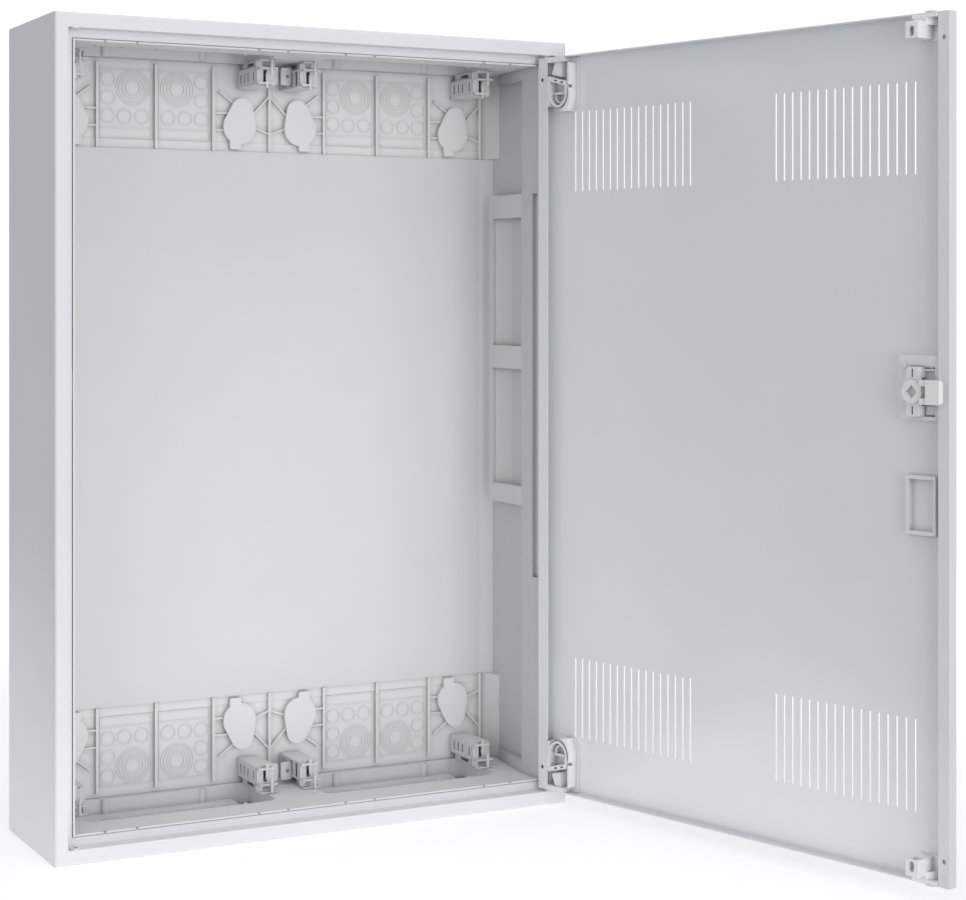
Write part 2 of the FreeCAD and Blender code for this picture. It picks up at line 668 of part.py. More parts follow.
# ---------------------------------------------------------------- door, drawn closed
def make_door_panel():
    pan = block(-DOOR_HALF_X, DOOR_HALF_X, FRONT_Y, DOOR_BACK_Y, -DOOR_HALF_Z, DOOR_HALF_Z)
    pan = round_edges(
        pan, DOOR_BEND,
        lambda p: p.y < FRONT_Y + 1,
    )
    in_x, in_z = DOOR_HALF_X - DOOR_SHEET, DOOR_HALF_Z - DOOR_SHEET
    lip_x0, lip_x1 = -DOOR_HALF_X + FREE_LIP, DOOR_HALF_X - HINGE_LIP
    pan = pan.cut(block(-in_x, in_x, INNER_SKIN_Y, DOOR_BACK_Y - DOOR_SHEET, -in_z, in_z))
    pan = pan.cut(block(lip_x0, lip_x1, INNER_SKIN_Y + 1, DOOR_BACK_Y + 1, -in_z, in_z))
    tools = []
    for side in (-1, 1):
        for end in (-1, 1):
            for k in range(VENTS_PER_GROUP):
                x = side * (VENT_FIRST_X + k * VENT_PITCH)
                z0, z1 = sorted((end * VENT_Z0, end * VENT_Z1))
                tools.append(slot(x, z0, z1, VENT_WIDTH, FRONT_Y - 1, INNER_SKIN_Y + 1))
            for z in LIP_HOLE_ZS:
                tools.append(
                    along_y(LIP_HOLE_R, side * LIP_HOLE_X, end * z, DOOR_BACK_Y - 3, DOOR_BACK_Y + 1)
                )
    for end in (-1, 1):
        hole = rod(PIN_R + 0.2, V(PIVOT_X, PIVOT_Y, DOOR_HALF_Z - 4), V(0, 0, 1), 8)
        tools.append(flip(hole, 1, end))
        for x in NUB_XS:
            nub_slot = block(
                x - NUB_HALF - NUB_PLAY, x + NUB_HALF + NUB_PLAY, NUB_Y0 - NUB_PLAY, NUB_Y1 + NUB_PLAY,
                DOOR_HALF_Z - DOOR_SHEET - 1, DOOR_HALF_Z + 1,
            )
            tools.append(flip(nub_slot, 1, end))
    tools.append(
        block(LATCH_X0 + 6, LATCH_X1 - 6, FRONT_Y - 1, INNER_SKIN_Y + 1, LATCH_Z0 + 6, LATCH_Z1 - 6)
    )
    tools.append(
        block(BLANK_X0 + 4, BLANK_X1 - 4, FRONT_Y - 1, INNER_SKIN_Y + 1, BLANK_Z0 + 4, BLANK_Z1 - 4)
    )
    return cut(pan, tools)


def make_lip_plugs():
    """Plastic rivets in the outermost holes of the door's lips."""
    plugs = []
    for side in (-1, 1):
        for end in (-1, 1):
            stem = along_y(LIP_HOLE_R - PIN_PLAY, LIP_HOLE_X, LIP_HOLE_ZS[0], DOOR_BACK_Y - 3, DOOR_BACK_Y)
            head = along_y(1.5, LIP_HOLE_X, LIP_HOLE_ZS[0], DOOR_BACK_Y, DOOR_BACK_Y + 0.6)
            plugs.append(flip(join([stem, head]), side, end))
    return group(plugs)


def hinge_x(distance):
    """X of a point the given distance from the hinge axis towards the free edge."""
    return PIVOT_X - distance


def make_hinge_block():
    """Upper hinge moulding in the door pan, with its arm, ribs and spring cup."""
    floor_y = INNER_SKIN_Y
    top_z = DOOR_HALF_Z - DOOR_SHEET - 0.2
    base = polygon(
        [
            (hinge_x(6), top_z), (hinge_x(46), top_z), (hinge_x(46), 334.0),
            (hinge_x(40), 325.0), (hinge_x(16), 325.0), (hinge_x(6), 332.0),
        ],
        floor_y, floor_y + 2.0,
    )
    arm = block(hinge_x(34), hinge_x(-3.1), floor_y, floor_y + 7.2, top_z - 4.5, top_z)
    arm_post = block(hinge_x(8), hinge_x(-3.1), floor_y, floor_y + 7.2, top_z - 17.0, top_z)
    arm_rise = block(hinge_x(34), hinge_x(9), floor_y + 7.2, floor_y + 12.5, top_z - 4.5, top_z)
    gusset = polygon(
        [
            (hinge_x(20), top_z - 4), (hinge_x(28), top_z - 4),
            (hinge_x(28), top_z - 20.0), (hinge_x(15), top_z - 16.5),
        ],
        floor_y + 1.0, floor_y + 10.5,
    )
    cross_bar = bar(hinge_x(10), 361.0, hinge_x(37.2), 353.9, 4.8, floor_y + 2.0, floor_y + 12.0)
    cup = tube_ring(13.0, 2.0, CUP_X, CUP_Z, floor_y + 2.0, floor_y + 12.0)
    cup = cup.cut(block(hinge_x(60), hinge_x(-10), floor_y, floor_y + 20, CUP_Z + 5, 380.0))
    inner_cup = tube_ring(8.0, 1.6, CUP_X, CUP_Z - 1, floor_y + 2.0, floor_y + 8.0)
    inner_cup = inner_cup.cut(block(hinge_x(60), hinge_x(-10), floor_y, floor_y + 20, CUP_Z, 380.0))
    web = block(hinge_x(30), hinge_x(10), floor_y + 2.0, floor_y + 7.0, 343.5, 346.0)
    column = block(hinge_x(13.5), hinge_x(9.2), floor_y + 2.0, floor_y + 11.5, 331.5, 362.0)
    side_wall = block(hinge_x(38.2), hinge_x(35.6), floor_y + 2.0, floor_y + 12.0, 343.0, 356.0)
    body = join(
        [base, arm, arm_post, arm_rise, gusset, cross_bar, cup, inner_cup, web, column, side_wall]
    )
    slots = [
        bar(hinge_x(20 + 9 * k), 358.4 - 2.3 * k, hinge_x(24 + 9 * k), 357.4 - 2.3 * k,
            1.9, floor_y + 7.0, floor_y + 14.0)
        for k in range(2)
    ]
    pin_hole = rod(PIN_R, V(PIVOT_X, PIVOT_Y, top_z - 20), V(0, 0, 1), 25)
    return cut(body, slots + [pin_hole])


def make_hinge_cover():
    """Light cover strips along the free side of the upper hinge moulding."""
    floor_y = INNER_SKIN_Y + 2.0
    upper = rounded_block(
        hinge_x(42.2), hinge_x(39.2), floor_y, floor_y + 9.5, 352.5, 375.5, 0.8, "y"
    )
    start, end = V(hinge_x(39.2), 0, 349.5), V(hinge_x(42.2), 0, 349.5)
    low_outer, low_inner = V(hinge_x(37.0), 0, 325.6), V(hinge_x(27.0), 0, 326.4)
    edges = [
        Part.LineSegment(start, end).toShape(),
        Part.Arc(end, V(hinge_x(42.0), 0, 337.0), low_outer).toShape(),
        Part.LineSegment(low_outer, low_inner).toShape(),
        Part.Arc(low_inner, V(hinge_x(38.2), 0, 336.0), start).toShape(),
    ]
    lower = prism(edges, floor_y, floor_y + 9.5)
    link = block(hinge_x(42.0), hinge_x(39.6), floor_y, floor_y + 5.0, 349.0, 353.5)
    return join([upper, lower, link])


def make_hinge_pin():
    """Steel pin with a bent-over foot, fixed in the hinge moulding."""
    low_z, high_z = DOOR_HALF_Z - 21.0, REBATE_Z + 5.0
    return rod(PIN_R, V(PIVOT_X, PIVOT_Y, low_z), V(0, 0, 1), high_z - low_z)


def make_corner_block():
    """Upper guide block at the free edge, standing well above the door's skin."""
    floor_y = INNER_SKIN_Y
    x0, x1 = -235.5, -222.5
    tower = rounded_block(x0, x1, floor_y, floor_y + 25.0, 360.0, 375.0, 1.2, "x")
    roof_z = DOOR_HALF_Z - DOOR_SHEET - 0.2
    roof = block(-246.6, x1 + 2.0, floor_y, floor_y + 13.0, roof_z - 3.0, roof_z)
    neck = block(x0, x1, floor_y, floor_y + 13.0, 374.0, roof_z)
    foot = block(x0 - 9.0, x1 + 2.0, floor_y, floor_y + 2.0, 358.5, roof_z)
    gusset = plan_polygon(
        [(x0, floor_y + 2), (x0 - 8.0, floor_y + 2), (x0, floor_y + 13.0)], 372.0, roof_z
    )
    nubs = [
        block(x - NUB_HALF, x + NUB_HALF, NUB_Y0, NUB_Y1, roof_z - 1.0, DOOR_HALF_Z + NUB_RISE)
        for x in NUB_XS
    ]
    block_shape = join([tower, roof, neck, foot, gusset] + nubs)
    pocket = block(x1 - 3.0, x1 + 3.0, floor_y + 4.0, floor_y + 8.0, roof_z - 4, roof_z + 1)
    hollow = block(x0 + 2.0, x1 - 2.0, floor_y + 14.0, floor_y + 23.0, 359.0, 370.0)
    oval = slot((x0 + x1) / 2, 361.5, 371.0, 5.0, floor_y + 22.0, floor_y + 26.0)
    return cut(block_shape, [pocket, hollow, oval])


# ---------------------------------------------------------------- latch, drawn on the closed door
def make_latch_base():
    """Moulded frame that fills the door's latch cut-out."""
    y0 = INNER_SKIN_Y
    plate = block(LATCH_X0, LATCH_X1, y0, y0 + 2.5, LATCH_Z0, LATCH_Z1)
    wall = block(LATCH_X0 + 1.4, LATCH_X1, y0 + 2.5, y0 + LATCH_WALL_Y, LATCH_Z0, LATCH_Z1)
    wall = wall.cut(
        block(LATCH_X0 + 4.6, SPINDLE_X + 8.0, y0, y0 + 9, LATCH_Z0 + 3, LATCH_Z1 - 9)
    )
    spigot = block(LATCH_X0 + 6.2, LATCH_X1 - 6.2, FRONT_Y, y0, LATCH_Z0 + 6.2, LATCH_Z1 - 6.2)
    upper_bars = [
        block(LATCH_X0 + 4, LATCH_X1 - 7, y0 + 2.5, y0 + 6.5, z, z + 1.6)
        for z in (LATCH_Z1 - 10.5, LATCH_Z1 - 13.5)
    ]
    post = along_y(2.6, LATCH_X1 - 6.5, LATCH_Z1 - 9.0, y0 + 2.5, y0 + 9.0)
    arc = tube_ring(26.0, 1.4, SPINDLE_X, SPINDLE_Z, y0 + 2.5, y0 + 5.5)
    arc = arc.common(
        block(LATCH_X0 + 3, SPINDLE_X - 9, y0, y0 + 9, SPINDLE_Z + BOLT_HALF_Z + 2, LATCH_Z1 - 3)
    )
    pads = [
        block(SPINDLE_X - 6.9, SPINDLE_X + 6.9, y0 + 2.5, BRIDGE_Y0, z0, z1)
        for z0, z1 in (
            (SPINDLE_Z - 22.0, SPINDLE_Z - 12.5),
            (SPINDLE_Z + 12.5, SPINDLE_Z + 22.0),
        )
    ]
    shelf = block(
        LATCH_X0 + 5, SPINDLE_X - 8, y0 + 2.5, y0 + 5.0, LATCH_Z0 + 4.5, SPINDLE_Z - BOLT_HALF_Z - 2
    )
    guides = []
    for turn in (-1, 1):
        inner_z = SPINDLE_Z + turn * (KEEL_HALF_Z + KEEL_PLAY)
        outer_z = SPINDLE_Z + turn * (KEEL_HALF_Z + KEEL_PLAY + 2.5)
        guides.append(block(LATCH_X0 + 1.4, GUIDE_END_X, y0 + 2.5, DOOR_BACK_Y, inner_z, outer_z))
    base = join([plate, wall, spigot, post, arc, shelf] + upper_bars + pads + guides)
    bore = along_y(SPINDLE_STEM_R + PIN_PLAY, SPINDLE_X, SPINDLE_Z, FRONT_Y - 1, y0 + 9)
    barrel = along_y(BARREL_R + 0.3, SPINDLE_X, SPINDLE_Z, FRONT_Y - 1, FRONT_Y + 2.0)
    return cut(base, [bore, barrel])


def make_latch_bridge():
    """Cross-arm bridge over the spindle, with a clamp slot in each arm."""
    arms = rounded_block(
        SPINDLE_X - 6.8, SPINDLE_X + 6.8, BRIDGE_Y0, BRIDGE_Y1,
        SPINDLE_Z - 22.0, SPINDLE_Z + 22.0, 2.8, "y",
    )
    collar = along_y(RING_R + 2.6, SPINDLE_X, SPINDLE_Z, BRIDGE_Y0, BRIDGE_Y1)
    collar = collar.cut(
        block(SPINDLE_X - 30, SPINDLE_X - 7.0, BRIDGE_Y0 - 1, BRIDGE_Y1 + 1, 0, 100)
    )
    bridge = join([arms, collar])
    tools = [along_y(RING_R + PIN_PLAY, SPINDLE_X, SPINDLE_Z, BRIDGE_Y0 + 1.5, BRIDGE_Y1 + 1)]
    tools.append(along_y(SPINDLE_STEM_R + 0.3, SPINDLE_X, SPINDLE_Z, BRIDGE_Y0 - 1, BRIDGE_Y1))
    tools.append(
        slot(SPINDLE_X, SPINDLE_Z + 12.6, SPINDLE_Z + 20.5, 1.7, BRIDGE_Y0 - 1, BRIDGE_Y1 + 1)
    )
    tools.append(
        slot(SPINDLE_X, SPINDLE_Z - 20.5, SPINDLE_Z - 12.6, 1.7, BRIDGE_Y0 - 1, BRIDGE_Y1 + 1)
    )
    return cut(bridge, tools)


def square_prism(side, y0, y1):
    """Square block standing on one corner, centred on the spindle."""
    half = side / math.sqrt(2)
    corners = [(half, 0), (0, half), (-half, 0), (0, -half)]
    return polygon([(SPINDLE_X + x, SPINDLE_Z + z) for x, z in corners], y0, y1)


def make_spindle():
    """Turning spindle: ring head with a shallow square socket, stem and outer key barrel."""
    head = along_y(RING_R, SPINDLE_X, SPINDLE_Z, BRIDGE_Y0 + 1.7, RING_TOP_Y)
    stem = along_y(SPINDLE_STEM_R, SPINDLE_X, SPINDLE_Z, FRONT_Y + 1.9, BRIDGE_Y0 + 1.7)
    barrel = along_y(BARREL_R, SPINDLE_X, SPINDLE_Z, FRONT_Y - 0.0, FRONT_Y + 1.9)
    spindle = join([head, stem, barrel])
    socket = square_prism(8.4, BRIDGE_Y1 - 2.0, BRIDGE_Y1 + 3)
    keyway = square_prism(7.0, FRONT_Y - 1, FRONT_Y + 3.2)
    bit = along_y(2.0, SPINDLE_X, SPINDLE_Z, FRONT_Y - 1, FRONT_Y + 1)
    return cut(spindle, [socket, keyway]).fuse(bit.common(stem)).removeSplitter()


def make_bolt():
    """Sliding bolt, drawn thrown; its nose stands above the lip's level and locks behind it."""
    low_z, high_z = SPINDLE_Z - BOLT_HALF_Z, SPINDLE_Z + BOLT_HALF_Z
    nose = block(BOLT_TIP_X, -240.5, BOLT_Y1, BOLT_Y2, low_z, high_z)
    nose = nose.makeFillet(
        3.5, [e for e in nose.Edges if all(v.X < BOLT_TIP_X + 0.1 for v in e.Vertexes)
              and abs(e.tangentAt(0).y) > 0.9]
    )
    bevel = plan_polygon(
        [(BOLT_TIP_X - 1, BOLT_Y2 - BEVEL), (BOLT_TIP_X - 1, BOLT_Y2 + 1),
         (BOLT_TIP_X + BEVEL, BOLT_Y2 + 1), (BOLT_TIP_X + BEVEL, BOLT_Y2),
         (BOLT_TIP_X, BOLT_Y2 - BEVEL)],
        low_z - 1, high_z + 1,
    )
    body = block(BOLT_BODY_X, -240.5, BOLT_Y0, BOLT_Y1, low_z, high_z)
    shoulder = block(-240.5, -239.0, BOLT_Y0, BOLT_Y2 - 1.2, low_z + 0.8, high_z - 0.8)
    yoke = [
        block(-239.5, YOKE_END_X, RING_TOP_Y + 0.4, BOLT_Y2 - 2.2, z0, z1)
        for z0, z1 in ((low_z, low_z + YOKE_ARM), (high_z - YOKE_ARM, high_z))
    ]
    keel = block(
        KEEL_X0, KEEL_X1, INNER_SKIN_Y + LATCH_WALL_Y + KEEL_PLAY, BOLT_Y0,
        SPINDLE_Z - KEEL_HALF_Z, SPINDLE_Z + KEEL_HALF_Z,
    )
    return join([nose.cut(bevel), body, shoulder, keel] + yoke)


def make_blank_cover():
    """Snap-in blanking cover of the second latch cut-out."""
    y0 = INNER_SKIN_Y
    frame = block(BLANK_X0, BLANK_X1, y0, y0 + 6.5, BLANK_Z0, BLANK_Z1)
    flange = block(BLANK_X0 - 1.5, BLANK_X1 + 1.0, y0, y0 + 1.2, BLANK_Z0 - 2.0, BLANK_Z1 + 1.5)
    plug = block(BLANK_X0 + 4.2, BLANK_X1 - 4.2, FRONT_Y, y0, BLANK_Z0 + 4.2, BLANK_Z1 - 4.2)
    pocket = block(BLANK_X0 + 3.0, BLANK_X1 - 3.2, y0 + 1.0, y0 + 8, BLANK_Z0 + 3.4, BLANK_Z1 - 3.2)
    return cut(join([frame, flange, plug]), [pocket])


# ---------------------------------------------------------------- assembly
def as_hung(shape):
    """Turns a piece drawn on the closed door to the door's open rest position."""
    turned = shape.copy()
    turned.rotate(V(PIVOT_X, PIVOT_Y, 0), V(0, 0, 1), DOOR_OPEN_DEG)
    return turned


def cabinet_nodes():
    band = make_band()
    ceiling = make_ceiling()
    nodes = {
        "cabinet_shell": make_shell(),
        "rear_wall": make_rear_wall(),
        "top_entry_plates": make_entry_plates(1),
        "bottom_entry_plates": make_entry_plates(-1),
        "entry_plate_screws": make_entry_screws(),
        "liner_back_panel": make_back_panel(),
        "liner_band_top": band,
        "liner_band_bottom": mirror_z(band),
        "liner_ceiling": ceiling,
        "liner_floor": mirror_z(ceiling),
        "liner_left": make_side_liner(-1),
        "liner_right": make_side_liner(1),
        "cable_guide_left": make_cable_guide(-1),
        "cable_guide_right": make_cable_guide(1),
        "rim_frame": make_rim_frame(),
        "hinge_bushes": make_hinge_bushes(),
    }
    body = bracket_body()
    for end, end_name in ((1, "top"), (-1, "bottom")):
        for place in BRACKET_PLACES:
            nodes[f"rail_bracket_{end_name}_{place}"] = place_bracket_piece(body, place, end)
            clip = bracket_clip(BRACKET_LEFT_FACES[place])
            nodes[f"rail_clip_{end_name}_{place}"] = flip(clip, 1, end)
    return nodes


def door_nodes():
    hinge_block = make_hinge_block()
    hinge_cover = make_hinge_cover()
    hinge_pin = make_hinge_pin()
    corner = make_corner_block()
    closed = {
        "door_panel": make_door_panel(),
        "lip_plugs": make_lip_plugs(),
        "hinge_block_upper": hinge_block,
        "hinge_block_lower": mirror_z(hinge_block),
        "hinge_cover_upper": hinge_cover,
        "hinge_cover_lower": mirror_z(hinge_cover),
        "hinge_pin_upper": hinge_pin,
        "hinge_pin_lower": mirror_z(hinge_pin),
        "corner_block_upper": corner,
        "corner_block_lower": mirror_z(corner),
        "latch_base": make_latch_base(),
        "latch_bridge": make_latch_bridge(),
        "latch_spindle": make_spindle(),
        "latch_bolt": make_bolt(),
        "blank_cover": make_blank_cover(),
    }
    return {name: as_hung(shape) for name, shape in closed.items()}


def main():
    os.makedirs("parts", exist_ok=True)
    nodes = {**cabinet_nodes(), **door_nodes()}
    for name, shape in nodes.items():
        if not shape.isValid():
            print("invalid:", name)
        for solid in shape.Solids:
            if solid.Volume <= 0:
                print("inside out:", name)
        print(name, len(shape.Solids), round(shape.Volume), shape.ShapeType)
        shape.exportStep(f"parts/{name}.step")


main()
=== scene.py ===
import json
import math

import bmesh
import bpy
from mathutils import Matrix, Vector


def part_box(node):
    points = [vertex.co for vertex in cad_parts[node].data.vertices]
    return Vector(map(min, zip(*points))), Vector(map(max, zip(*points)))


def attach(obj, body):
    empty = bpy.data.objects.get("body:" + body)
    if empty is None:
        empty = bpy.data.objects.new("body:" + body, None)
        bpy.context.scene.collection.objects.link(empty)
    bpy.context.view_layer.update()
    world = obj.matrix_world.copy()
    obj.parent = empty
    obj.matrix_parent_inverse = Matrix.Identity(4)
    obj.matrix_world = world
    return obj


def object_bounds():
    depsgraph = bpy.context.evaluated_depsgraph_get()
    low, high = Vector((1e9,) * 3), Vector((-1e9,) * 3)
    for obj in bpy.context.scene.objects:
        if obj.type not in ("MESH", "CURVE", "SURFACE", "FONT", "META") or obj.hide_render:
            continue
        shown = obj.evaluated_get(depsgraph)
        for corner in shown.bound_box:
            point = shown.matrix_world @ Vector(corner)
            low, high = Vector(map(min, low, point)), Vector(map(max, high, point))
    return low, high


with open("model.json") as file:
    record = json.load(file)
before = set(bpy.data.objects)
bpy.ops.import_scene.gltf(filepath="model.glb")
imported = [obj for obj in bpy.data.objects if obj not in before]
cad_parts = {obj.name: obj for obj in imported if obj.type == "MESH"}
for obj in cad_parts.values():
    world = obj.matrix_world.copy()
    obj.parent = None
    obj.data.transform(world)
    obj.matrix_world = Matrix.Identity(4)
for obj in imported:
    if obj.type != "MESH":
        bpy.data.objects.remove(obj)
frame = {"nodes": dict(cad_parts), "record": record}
cad_box = [list(corner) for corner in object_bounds()]
nodes = frame["nodes"]
slot_of = {row["node"]: row["material_slot"] for row in frame["record"]["subparts"]}

# Camera: the place and lens of a three-quarter view from the left
CAMERA_AT = (-0.8437, -2.1000, 0.13555)
CAMERA_YAW = 0.484
LENS_MM = 79.16
SHIFT_Y = -0.1614
SENSOR_MM = 36.0

# Floor: a round disc that glows more towards its far edge, so that it ends without a line
FLOOR_CENTRE = (0.55, 0.75, cad_box[0][2] - 0.0006)
FLOOR_R = 1.4
FLOOR_SIDES = 96
GLOW_FROM, GLOW_TO = 0.6, 1.9
GLOW_NEAR, GLOW_FAR = 0.32, 0.64

# Lights: even surroundings and three soft panels that face the cabinet
AIM = (0.05, -0.2, 0.0)
SKY_COLOUR = (0.985, 0.99, 1.0, 1)
SKY_STRENGTH = 0.42
BACKDROP_STRENGTH = 1.05

# Materials: size of the cloudy tone, and how the painted shade in corners darkens the colour
CLOUD_SCALE = 7.0
CLOUD_DETAIL = 3.0
GRAIN_DETAIL = 4.0
GRAIN_ROUGHNESS = 0.6
NOISE_LOW, NOISE_HIGH = 0.25, 0.75
TONE_LOW, TONE_HIGH = 0.3, 0.7
ROUGH_SPREAD = 0.1
# Painted shade in corners: reach and samples of the ambient occlusion, and the range that
# darkens
PAINTED_SHADE_REACH = 0.007
PAINTED_SHADE_SAMPLES = 6
PAINTED_SHADE_DARK, PAINTED_SHADE_CLEAR = 0.2, 0.95

# Trough behind a side moulding's long slot: it rises in a curve towards the moulding's
# front edge. Its depth is behind the moulding's face, the rest is distance from that edge.
TROUGH_DEPTH = 0.0034
TROUGH_BACK = 0.0129
TROUGH_FRONT = 0.0008
TROUGH_STEPS = 10
TROUGH_THICKNESS = 0.0006
TROUGH_TOP_DEPTH = 0.0004
TROUGH_WALL_LEAN = 0.0003
TROUGH_WALL_FOOT = 0.0002
TROUGH_START = 0.03
SLOT_FOOT_Z = -0.164
SLOT_BELOW_GUIDE_TOP = 0.001
BOLT_ROOM = 0.004


def link(thing):
    bpy.context.scene.collection.objects.link(thing)
    return thing


# ---------------------------------------------------------------- materials
def add(tree, kind, **values):
    node = tree.nodes.new(kind)
    for name, value in values.items():
        setattr(node, name, value)
    return node


def noise(tree, coords, scale, detail, roughness=0.5):
    texture = add(tree, "ShaderNodeTexNoise")
    texture.inputs["Scale"].default_value = scale
    texture.inputs["Detail"].default_value = detail
    texture.inputs["Roughness"].default_value = roughness
    tree.links.new(coords, texture.inputs["Vector"])
    return texture.outputs["Fac"]


def map_range(tree, value, low, high):
    node = add(tree, "ShaderNodeMapRange")
    node.inputs["From Min"].default_value = NOISE_LOW
    node.inputs["From Max"].default_value = NOISE_HIGH
    node.inputs["To Min"].default_value = low
    node.inputs["To Max"].default_value = high
    tree.links.new(value, node.inputs["Value"])
    return node.outputs["Result"]


def shade(tree, value, colour, change):
    """The colour, a little darker or lighter along a noise value."""
    ramp = add(tree, "ShaderNodeValToRGB")
    low, high = ramp.color_ramp.elements
    low.position, high.position = TONE_LOW, TONE_HIGH
    low.color = [c * (1 - change) for c in colour] + [1]
    high.color = [min(1.0, c * (1 + change)) for c in colour] + [1]
    tree.links.new(value, ramp.inputs["Fac"])
    return ramp.outputs["Color"]


def painted_corner_shade(tree, colour, depth):
    """The colour, darkened by painted shade where surfaces meet."""
    # Painted shade: ambient occlusion sets how much the colour is darkened
    corner = add(tree, "ShaderNodeAmbientOcclusion", samples=PAINTED_SHADE_SAMPLES)
    corner.inputs["Distance"].default_value = PAINTED_SHADE_REACH
    level = add(tree, "ShaderNodeMapRange")
    level.inputs["From Min"].default_value = PAINTED_SHADE_DARK
    level.inputs["From Max"].default_value = PAINTED_SHADE_CLEAR
    level.inputs["To Min"].default_value = 1 - depth
    tree.links.new(corner.outputs["AO"], level.inputs["Value"])
    mix = add(tree, "ShaderNodeVectorMath", operation="SCALE")
    tree.links.new(colour, mix.inputs["Vector"])
    tree.links.new(level.outputs["Result"], mix.inputs["Scale"])
    return mix.outputs["Vector"]


def surface(name, colour, rough, grain_scale, grain_height, change=0.015, metallic=0.0,
            specular=0.5, coat=0.0, coat_rough=0.1, coat_ior=1.5, stretch=(1, 1, 1),
            depth=0.0):
    """A painted, moulded or metal surface: cloudy tone, grain in roughness and relief, and
    painted shade in its corners when depth is set.
    """
    material = bpy.data.materials.new(name)
    material.use_nodes = True
    tree = material.node_tree
    shader = tree.nodes["Principled BSDF"]
    coords = add(tree, "ShaderNodeTexCoord").outputs["Object"]
    mapping = add(tree, "ShaderNodeMapping")
    mapping.inputs["Scale"].default_value = stretch
    tree.links.new(coords, mapping.inputs["Vector"])
    place = mapping.outputs["Vector"]
    tone = shade(tree, noise(tree, coords, CLOUD_SCALE, CLOUD_DETAIL), colour, change)
    # depth: how strongly painted shade darkens the colour where surfaces meet
    if depth:
        tone = painted_corner_shade(tree, tone, depth)
    tree.links.new(tone, shader.inputs["Base Color"])
    grain = noise(tree, place, grain_scale, GRAIN_DETAIL, GRAIN_ROUGHNESS)
    uneven = map_range(tree, grain, rough * (1 - ROUGH_SPREAD), rough * (1 + ROUGH_SPREAD))
    tree.links.new(uneven, shader.inputs["Roughness"])
    bump = add(tree, "ShaderNodeBump")
    bump.inputs["Strength"].default_value = 1.0
    bump.inputs["Distance"].default_value = grain_height
    tree.links.new(grain, bump.inputs["Height"])
    tree.links.new(bump.outputs["Normal"], shader.inputs["Normal"])
    shader.inputs["Metallic"].default_value = metallic
    shader.inputs["Specular IOR Level"].default_value = specular
    shader.inputs["Coat Weight"].default_value = coat
    shader.inputs["Coat Roughness"].default_value = coat_rough
    shader.inputs["Coat IOR"].default_value = coat_ior
    return material


def linear(r, g, b):
    """Linear colour of an 8-bit sRGB one."""
    return [((v / 255 + 0.055) / 1.055) ** 2.4 for v in (r, g, b)]


POWDER = dict(grain_scale=1400.0, grain_height=0.00002)
SATIN = dict(grain_scale=900.0, grain_height=0.000006)
# Moulded parts carry painted shade: depth=0.38 darkens their colour where surfaces meet
MOULD = dict(grain_scale=2200.0, grain_height=0.00001, depth=0.38)
LOOKS = {
    "body_paint": surface("body_paint", linear(232, 233, 237), 0.42, **POWDER),
    "entry_paint": surface("entry_paint", linear(225, 226, 229), 0.42, **POWDER),
    "door_paint": surface("door_paint", linear(231, 234, 237), 0.3, coat=1.0, coat_rough=0.14,
                          coat_ior=1.6, **SATIN),
    "liner_panel": surface("liner_panel", linear(226, 226, 227), 0.5, **MOULD),
    "liner_band": surface("liner_band", linear(236, 236, 236), 0.5, **MOULD),
    "liner_end": surface("liner_end", linear(226, 226, 227), 0.45, **MOULD),
    # liner_side is set darker than liner_panel and liner_end: painted shade on the inner side
    # walls
    "liner_side": surface("liner_side", linear(206, 206, 207), 0.45, **MOULD),
    "liner_guide": surface("liner_guide", linear(216, 216, 216), 0.45, **MOULD),
    "rim_trim": surface("rim_trim", linear(228, 230, 232), 0.4, **MOULD),
    "bush_plastic": surface("bush_plastic", linear(238, 238, 238), 0.4, **MOULD),
    "bracket_plastic": surface("bracket_plastic", linear(224, 224, 225), 0.45, **MOULD),
    "clip_plastic": surface("clip_plastic", linear(226, 226, 226), 0.42, **MOULD),
    "plug_plastic": surface("plug_plastic", linear(240, 240, 240), 0.4, **MOULD),
    "hinge_plastic": surface("hinge_plastic", linear(234, 235, 238), 0.42, **MOULD),
    "cover_plastic": surface("cover_plastic", linear(242, 242, 243), 0.42, **MOULD),
    "corner_plastic": surface("corner_plastic", linear(246, 246, 247), 0.42, **MOULD),
    "latch_plastic": surface("latch_plastic", linear(232, 232, 234), 0.42, **MOULD),
    "spindle_plastic": surface("spindle_plastic", linear(240, 240, 240), 0.42, **MOULD),
    "bolt_plastic": surface("bolt_plastic", linear(242, 242, 242), 0.42, **MOULD),
    "blank_plastic": surface("blank_plastic", linear(230, 232, 234), 0.42, **MOULD),
    "pin_steel": surface("pin_steel", linear(196, 198, 201), 0.3, 600.0, 0.00001,
                         metallic=1.0, stretch=(1, 1, 0.04)),
    "zinc_screw": surface("zinc_screw", linear(200, 202, 205), 0.34, 900.0, 0.00001,
                          metallic=1.0),
}
for name, node in nodes.items():
    node.data.materials.clear()
    node.data.materials.append(LOOKS[slot_of[name]])


# ---------------------------------------------------------------- slot linings
def trough_section():
    """(depth, distance) from the trough's back wall to its front end."""
    section = [
        (TROUGH_TOP_DEPTH, TROUGH_BACK + TROUGH_WALL_LEAN),
        (TROUGH_DEPTH - TROUGH_WALL_FOOT, TROUGH_BACK),
    ]
    for k in range(TROUGH_STEPS + 1):
        share = k / TROUGH_STEPS
        run = TROUGH_START + (1 - TROUGH_START) * share
        along = TROUGH_BACK + (TROUGH_FRONT - TROUGH_BACK) * run
        section.append((TROUGH_DEPTH * (1 - share ** 2), along))
    return section


